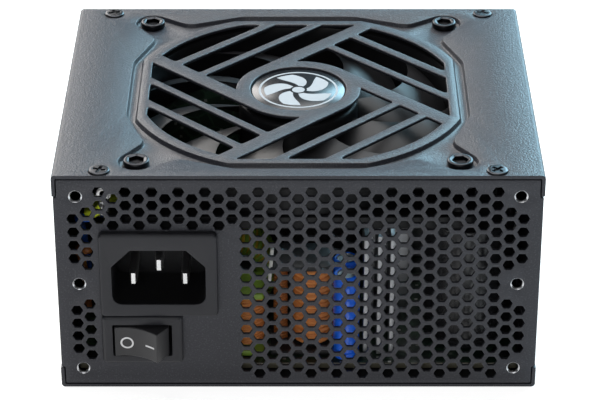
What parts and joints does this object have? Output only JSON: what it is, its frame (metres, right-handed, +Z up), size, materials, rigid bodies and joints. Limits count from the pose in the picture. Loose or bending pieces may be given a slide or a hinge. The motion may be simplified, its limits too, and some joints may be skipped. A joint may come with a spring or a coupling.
{
  "type": "power supply unit",
  "caption": "Small form factor computer power supply: black steel case, top fan under a slatted grille, mains inlet, rocker switch, hexagonal vents and modular lead sockets.",
  "frame": {"origin": "middle of the underside of the bottom pan", "axes": "+Z up, out of the fan grille; -Y out of the inlet and switch panel; +X to the right when facing that panel"},
  "size_m": [0.125, 0.1072, 0.064],
  "materials": {
    "powder_coat": "fine sand-textured charcoal powder coat",
    "black_screw": "black zinc-plated steel",
    "moulded_black": "moulded black nylon with a light spark texture",
    "fan_plastic": "glossy dark grey moulding",
    "contact_metal": "tin-plated brass",
    "circuit_board": "green solder mask",
    "insulator": "black fibre sheet",
    "copper_winding": "enamelled copper wire",
    "aluminium_fin": "mill aluminium",
    "black_sleeve": "shrunk plastic sleeve and black tape",
    "blue_epoxy": "blue epoxy coating",
    "choke_core": "yellow-green painted powder core with enamelled wire",
    "yellow_case": "yellow moulded capacitor case",
    "badge_face": "glossy black badge with a plain silver fan pictogram",
    "brass": "turned brass",
    "live_insulation": "brown PVC",
    "neutral_insulation": "blue PVC",
    "earth_insulation": "green PVC with a yellow stripe"
  },
  "bodies": {
    "case": {"ac_inlet_body": "moulded_black", "blue_capacitor_1": "blue_epoxy", "blue_capacitor_2": "blue_epoxy", "board_screw_1": "black_screw", "board_screw_2": "black_screw", "board_screw_3": "black_screw", "board_screw_4": "black_screw", "boost_choke": "choke_core", "bottom_pan": "powder_coat", "bulk_capacitor": "black_sleeve", "cover_screw_1": "black_screw", "cover_screw_2": "black_screw", "cover_screw_3": "black_screw", "cover_screw_4": "black_screw", "drive_socket": "moulded_black", "earth_pin": "contact_metal", "earth_wire": "earth_insulation", "fan_badge": "badge_face", "fan_bearing": "brass", "fan_frame": "fan_plastic", "fan_screw_1": "black_screw", "fan_screw_2": "black_screw", "fan_screw_3": "black_screw", "fan_screw_4": "black_screw", "fan_stator": "copper_winding", "graphics_socket": "moulded_black", "inlet_panel": "powder_coat", "insulating_sheet": "insulator", "lead_panel": "powder_coat", "line_filter_choke": "choke_core", "live_pin": "contact_metal", "live_wire": "live_insulation", "main_board": "circuit_board", "main_socket_narrow": "moulded_black", "main_socket_wide": "moulded_black", "neutral_pin": "contact_metal", "neutral_wire": "neutral_insulation", "output_capacitor_1": "black_sleeve", "output_capacitor_2": "black_sleeve", "output_capacitor_3": "black_sleeve", "output_choke": "copper_winding", "primary_heatsink": "aluminium_fin", "processor_socket_1": "moulded_black", "processor_socket_2": "moulded_black", "safety_capacitor": "yellow_case", "secondary_heatsink": "aluminium_fin", "side_wall_left": "powder_coat", "side_wall_right": "powder_coat", "socket_board": "circuit_board", "standoff_1": "brass", "standoff_2": "brass", "standoff_3": "brass", "standoff_4": "brass", "surge_filter_choke": "copper_winding", "switch_housing": "moulded_black", "top_cover": "powder_coat", "transformer": "black_sleeve"},
    "rotor": {"fan_rotor": "fan_plastic", "fan_shaft": "contact_metal"},
    "rocker": {"switch_rocker": "moulded_black"}
  },
  "joints": [
    {"name": "fan_spin", "type": "hinge", "parent": "case", "child": "rotor", "pos_m": [0, -0.0007, 0.0538], "axis": [0, 0, 1], "continuous": true},
    {"name": "switch_rock", "type": "hinge", "parent": "case", "child": "rocker", "pos_m": [-0.0406, -0.04927, 0.0155], "axis": [0, 0, 1], "range_deg": [0, 36]}
  ]
}
